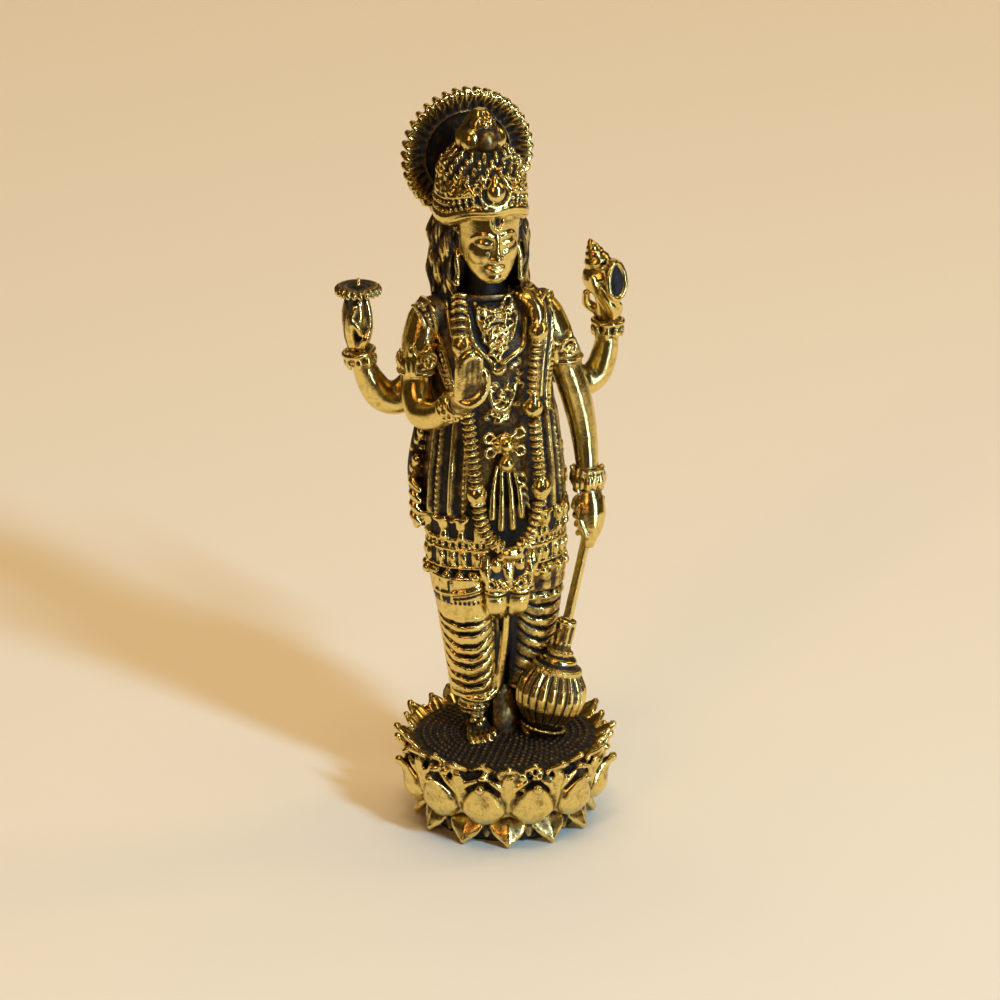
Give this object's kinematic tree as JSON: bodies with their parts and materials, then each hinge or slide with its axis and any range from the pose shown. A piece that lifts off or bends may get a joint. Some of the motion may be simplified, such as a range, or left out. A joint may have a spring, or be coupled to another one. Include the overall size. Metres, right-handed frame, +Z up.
{
  "type": "vishnu figure",
  "caption": "Small antiqued brass figure of four-armed Vishnu in a long coat and garland, standing before a halo on a double lotus plinth, cast in one piece.",
  "frame": {"origin": "middle of the lotus plinth's flat underside", "axes": "+Z up; the figure faces -Y; +X is to the viewer's right, on the figure's own left side"},
  "size_m": [0.0258, 0.02, 0.0644],
  "materials": {
    "brass": "antiqued: polished on the high parts, near-black in the recesses"
  },
  "bodies": {
    "root": {"vishnu_figure": "brass"}
  },
  "joints": []
}
